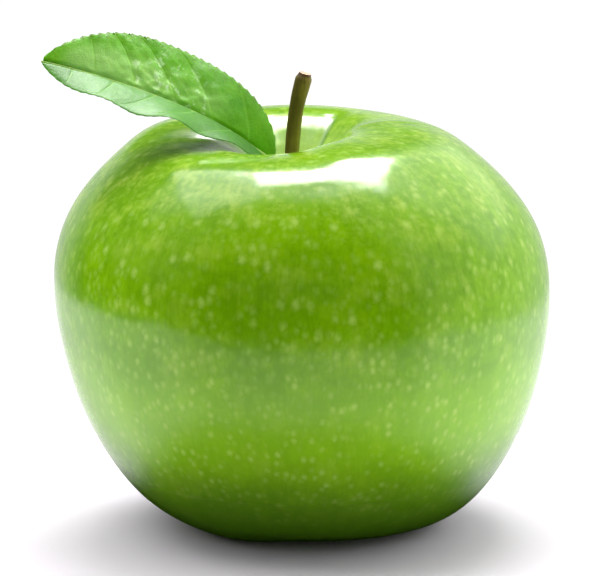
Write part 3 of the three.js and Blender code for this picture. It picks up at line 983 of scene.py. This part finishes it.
def sepalRing(tree, spine, size, x, y, z):  # a sepal is a thin box bent along the spine, cupped and pointed
    cells = {"Vertices X": 30, "Vertices Y": 13, "Vertices Z": 3}
    box = add(tree, "GeometryNodeMeshCube", {"Size": (1, 2, 1), **cells})
    along = x + 0.5
    sample = add(tree, "GeometryNodeSampleCurve", {"Curves": spine, "Factor": along}, mode="FACTOR")
    px, _, pz = parts(tree, sample.outputs["Position"])
    tx, _, tz = parts(tree, sample.outputs["Tangent"])
    narrowing = along.ease(0.25, 1.05, 1.0, 0.0)
    half = size["Sepal tip"] + (size["Sepal half width"] - size["Sepal tip"]) * narrowing
    cup = y * y * half * 0.35
    thin = (1 - y * y * 0.6) * (1 - along * 0.4)
    off = z * size["Sepal thickness"] * thin + cup
    bent = moveTo(tree, box.outputs["Mesh"], joined(tree, px + tz * off, y * half, pz - tx * off))
    ring = add(tree, "GeometryNodeMeshCircle", {"Vertices": calyx["sepals"], "Radius": 1.0})
    middle = moveTo(tree, ring.outputs[0], joined(tree, 0.0, 0.0, 0.0))
    step = Wire(tree, tree.nodes.new("GeometryNodeInputIndex").outputs[0])
    sway = drawn(tree, calyx["sepalSeed"], calyx["sepalSway"])
    turn = step * (2 * math.pi / calyx["sepals"]) + calyx["firstSepal"]
    return instances(tree, middle, bent, joined(tree, 0.0, sway, turn + sway))


def stamenRing(tree, size, x, y, z):  # stamens hang inside the ring of sepals
    cells = {"Vertices": 8, "Side Segments": 10}
    tube = add(tree, "GeometryNodeMeshCylinder", {"Radius": 1.0, "Depth": 1.0, **cells})
    droop = 0.5 - z
    thick = (1 - droop * 0.5) + droop.ease(0.86, 0.96) * 1.1
    thick = thick * size["Stamen radius"]
    reach = droop * size["Stamen length"]
    hanging = joined(tree, x * thick + droop * reach * 0.35, y * thick, reach * -1.0)
    hair = moveTo(tree, tube.outputs["Mesh"], hanging)
    crown = add(tree, "GeometryNodeMeshCircle", {"Vertices": calyx["stamens"], "Radius": calyx["stamenRing"]})
    up = (0, 0, calyx["stamenHeight"])
    lifted = add(tree, "GeometryNodeTransform", {"Geometry": crown.outputs[0], "Translation": up})
    step = Wire(tree, tree.nodes.new("GeometryNodeInputIndex").outputs[0])
    sway = drawn(tree, calyx["stamenSeed"], calyx["stamenSway"])
    turn = step * (2 * math.pi / calyx["stamens"]) + sway
    return instances(tree, lifted.outputs[0], hair, joined(tree, 0.0, sway * 0.5, turn))


def cupBody(tree, size, x, y, z):  # the cup that holds them, hollow below and rooted in the flesh
    cells = {"Vertices": 60, "Side Segments": 16, "Fill Segments": 8}
    can = add(tree, "GeometryNodeMeshCylinder", {"Radius": 1.0, "Depth": 1.0, **cells})
    out = (x * x + y * y).math("SQRT")
    down = 0.5 - z
    flare = size["Cup radius"] * (1 - down * down * 0.12)
    hollow = out.ease(0.35, 0.92, 1.0, 0.0) * size["Cup hollow"] * down.ease(0.9, 1.0)
    tall = size["Cup root"] - down * (size["Cup root"] - size["Cup rim"]) + hollow
    return moveTo(tree, can.outputs["Mesh"], joined(tree, x * flare, y * flare, tall))


def calyxTree(dried):
    tree, spine, size = geometryTree("driedCalyx", calyx["sizes"])
    here = tree.nodes.new("GeometryNodeInputPosition").outputs[0]
    place = parts(tree, here)
    whole = tree.nodes.new("GeometryNodeJoinGeometry")
    made = (sepalRing(tree, spine, size, *place), stamenRing(tree, size, *place), cupBody(tree, size, *place))
    for part in made:
        tree.links.new(part, whole.inputs[0])
    real = add(tree, "GeometryNodeRealizeInstances", {"Geometry": whole.outputs[0]})
    # everything is shrivelled
    shrivel = add(tree, "ShaderNodeTexNoise", {"Vector": here, "Scale": calyx["shrivelCells"], "Detail": 2.0})
    sockets = {0: shrivel.outputs["Color"], 1: (0.5, 0.5, 0.5)}
    push = add(tree, "ShaderNodeVectorMath", sockets, operation="SUBTRACT")
    sockets = {0: push.outputs[0], "Scale": calyx["shrivelDepth"]}
    scaled = add(tree, "ShaderNodeVectorMath", sockets, operation="SCALE")
    crumpled = moveBy(tree, real.outputs[0], scaled.outputs[0])
    aside = (calyx["lean"], 0, 0)
    placed = add(tree, "GeometryNodeTransform", {"Geometry": crumpled, "Translation": aside})
    closeTree(tree, placed.outputs[0], dried)
    return tree


def driedMaterial():
    material, tree, surface = newMaterial("driedFlower")
    here = add(tree, "ShaderNodeTexCoord").outputs["Object"]
    patches = noiseAt(tree, here, calyx["patchCells"], 4.0, 0.6)
    colour = mixColour(patches.ease(0.3, 0.7), calyx["dark"], calyx["light"])
    normal = bumped(tree, calyx["relief"], patches)
    settle(tree, surface, {"Base Color": colour, "Normal": normal, **calyx["surface"]})
    return material


def makeCalyx():
    spine = [(out, 0, height) for out, height in calyx["spine"]]
    run = [Vector(p) * mm for p in throughPoints(spine, calyx["spineSteps"])]
    tree = calyxTree(driedMaterial())
    piece = grown(splineObject("sepalSpine", "POLY", run), tree, calyx["sizes"], "appleCalyx")
    rides(piece, "calyx")


# floor, light and camera
studio = {
    "floorRadius": 0.07,
    "floorSides": 180,
    "floor": {"Base Color": (0.96, 0.885, 0.995, 1), "Roughness": 0.6, "Specular IOR Level": 0.2},
    "gloomStart": 48 * mm,
    "gloomEnd": 67 * mm,
    "gloomSquash": 2.7,
    "backdrop": 1.05,
    "distance": 0.8,
    "elevation": 12.0,  # degrees
    "target": (0.28 * mm, 0.0, 38.5 * mm),
    "fieldWidth": 96.6 * mm,
    "sensor": 36.0,
}


def makeFloor():
    count, radius = studio["floorSides"], studio["floorRadius"]
    turns = np.linspace(0, 2 * math.pi, count, endpoint=False)
    ring = [(radius * math.cos(a), radius * math.sin(a), 0) for a in turns]
    material, tree, surface = newMaterial("paleFloor")
    settle(tree, surface, studio["floor"])
    # in the apple's gloss the floor is dark close by, and the glow of the table shows through it further out
    x, y, _ = parts(tree, add(tree, "ShaderNodeTexCoord").outputs["Object"])
    glossy = Wire(tree, add(tree, "ShaderNodeLightPath").outputs["Is Glossy Ray"])
    dark = add(tree, "ShaderNodeEmission", {"Color": (0, 0, 0, 1), "Strength": 0.0})
    through = add(tree, "ShaderNodeBsdfTransparent")
    reach = (x * x * studio["gloomSquash"] + y * y).math("SQRT")
    far = reach.ease(studio["gloomStart"], studio["gloomEnd"])
    mirrored = add(tree, "ShaderNodeMixShader", {0: far, 1: dark.outputs[0], 2: through.outputs[0]})
    whole = add(tree, "ShaderNodeMixShader", {0: glossy, 1: surface.outputs[0], 2: mirrored.outputs[0]})
    end = next(node for node in tree.nodes if node.type == "OUTPUT_MATERIAL")
    tree.links.new(whole.outputs[0], end.inputs["Surface"])
    floor = meshObject("floor", ring, [tuple(range(count))], material)


# glow of the room, by how high and in which direction it is seen from the apple
glow = {
    "table": {"front": 1.26, "left": 1.9, "right": 1.9, "backLeft": 1.2, "backRight": 1.3},
    "level": {"front": 0.0, "left": 0.03, "right": 0.75, "backLeft": 0.7, "backRight": 0.7},
    "high": {"front": 0.0, "left": 0.15, "right": 0.7, "backLeft": 0.12, "backRight": 1.6},
    "top": {"front": 0.0, "left": 0.13, "right": 0.65, "backLeft": 1.6, "backRight": 2.6},
}

# where the glow goes over from one value to the next, as shares of the way back, right and up
room = {
    "front": (-0.75, -0.35),
    "back": {"table": (0.55, 0.9), "level": (0.55, 0.9), "high": (0.15, 0.5), "top": (0.15, 0.5)},
    "right": (0.08, 0.38),
    "level": (0.15, 0.32),
    "high": (0.6, 0.8),
    # two shares of the way back, and how far up the table's end and start lie there
    "tableEnd": (-0.9, -0.4, -0.3, -0.2),
    "tableStart": (0.2, 0.8, -0.7, -0.62),
    "endBlur": 0.03,
    "startBlur": 0.07,
}

# panels: centre, a point that they face, size, brightness, kind and perhaps a turn in degrees
# "gloss" is seen in reflections only, "soft" gives light only
panels = {
    "softbox": ((0.111, 0.262, 0.502), (0.111, 0.262, 0), (0.153, 0.43), 24.0, "gloss", 5),
    "softboxLeft": ((-0.018, 0.174, 0.502), (-0.018, 0.174, 0), (0.159, 0.254), 24.0, "gloss"),
    "softboxEnd": ((-0.195, 0.19, 0.502), (-0.195, 0.19, 0), (0.2, 0.4), 3.0, "gloss"),
    "topSpread": ((0.03, 0.204, 0.509), (0.03, -0.006, 0.056), (0.34, 0.41), 5.0, "soft"),
    "topFill": ((-0.3, 0.01, 0.56), (0, 0, 0.04), (0.37, 0.37), 3.5, "soft"),
    "leftFill": ((-0.51, 0.02, 0.34), (0, 0, 0.04), (0.9, 0.27), 1.36, "soft"),
    "rightFill": ((0.51, 0.02, 0.34), (0, 0, 0.04), (0.9, 0.27), 1.35, "soft"),
    "frontFill": ((0, -0.55, 0.25), (0, 0, 0.02), (0.5, 0.3), 0.88, "soft"),
    "frontTable": ((0, -0.6, -0.2), (0, 0, 0.03), (0.8, 0.25), 0.3, "soft"),
    "leftTable": ((-0.6, -0.1, -0.2), (0, 0, 0.03), (0.6, 0.25), 2.7, "soft"),
    "rightTable": ((0.6, -0.1, -0.2), (0, 0, 0.03), (0.6, 0.25), 4.2, "soft"),
}


def panelLight(name, place, aim, size, brightness, kind, turn=0):
    data = bpy.data.lights.new(name, "AREA")
    data.shape = "RECTANGLE"
    data.size, data.size_y = size
    data.energy = brightness * math.pi * size[0] * size[1]
    lamp = bpy.data.objects.new(name, data)
    lamp.location = place
    lamp.rotation_euler = (Vector(aim) - Vector(place)).to_track_quat("-Z", "Y").to_euler()
    lamp.rotation_euler.z += math.radians(turn)
    lamp.visible_camera = False
    lamp.visible_glossy = kind == "gloss"
    lamp.visible_diffuse = kind == "soft"
    bpy.context.collection.objects.link(lamp)


def makeWorld():
    world = bpy.data.worlds.new("studio")
    world.use_nodes = True
    tree = world.node_tree
    tree.nodes.clear()
    x, y, z = parts(tree, add(tree, "ShaderNodeTexCoord").outputs["Generated"])
    level = (x * x + y * y).math("SQRT").math("MAXIMUM", 0.001)
    toBack, toRight = y / level, x / level
    front = toBack.ease(*room["front"], 1.0, 0.0)
    right = toRight.ease(*room["right"])
    # the table ends lower down in front than at the sides, and it is dark close to the apple
    farEdge = toBack.ease(*room["tableEnd"])
    nearEdge = toBack.ease(*room["tableStart"])
    table = (z - farEdge).ease(-room["endBlur"], room["endBlur"], 1.0, 0.0)
    levelBand = z.ease(*room["level"], 1.0, 0.0)
    highBand = (1 - levelBand) * z.ease(*room["high"], 1.0, 0.0)
    bands = {
        "table": table * (z - nearEdge).ease(-room["startBlur"], room["startBlur"]),
        "level": (1 - table) * levelBand,
        "high": highBand,
        "top": 1 - levelBand - highBand,
    }
    total = 0.0
    for band, strengths in glow.items():
        back = toBack.ease(*room["back"][band])
        side = 1 - front - back
        onLeft = side * strengths["left"] + back * strengths["backLeft"]
        onRight = side * strengths["right"] + back * strengths["backRight"]
        lit = front * strengths["front"] + onLeft * (1 - right) + onRight * right
        total = bands[band] * lit + total
    seen = add(tree, "ShaderNodeLightPath").outputs["Is Camera Ray"]
    strength = add(tree, "ShaderNodeMix", {"Factor": seen, "A": total, "B": studio["backdrop"]})
    light = add(tree, "ShaderNodeBackground", {"Color": (1, 1, 1, 1), "Strength": strength.outputs[0]})
    end = tree.nodes.new("ShaderNodeOutputWorld")
    tree.links.new(light.outputs[0], end.inputs["Surface"])
    bpy.context.scene.world = world


def makeCamera():
    data = bpy.data.cameras.new("camera")
    data.sensor_width = studio["sensor"]
    data.lens = studio["sensor"] * studio["distance"] / studio["fieldWidth"]
    camera = bpy.data.objects.new("camera", data)
    tilt = math.radians(studio["elevation"])
    target = Vector(studio["target"])
    camera.location = target + studio["distance"] * Vector((0, -math.cos(tilt), math.sin(tilt)))
    camera.rotation_euler = (math.radians(90) - tilt, 0, 0)
    data.clip_start, data.clip_end = 0.05, 10
    bpy.context.collection.objects.link(camera)
    bpy.context.scene.camera = camera
    view = bpy.context.scene.view_settings
    view.view_transform = "Standard"
    view.look = "None"


makeFruit()
makeStem()
makeLeaf()
makeCalyx()
makeFloor()
makeWorld()
for name, settings in panels.items():
    panelLight(name, *settings)
makeCamera()
print("studio:", len(panels), "panels,", len(glow), "bands of glow, floor and camera")
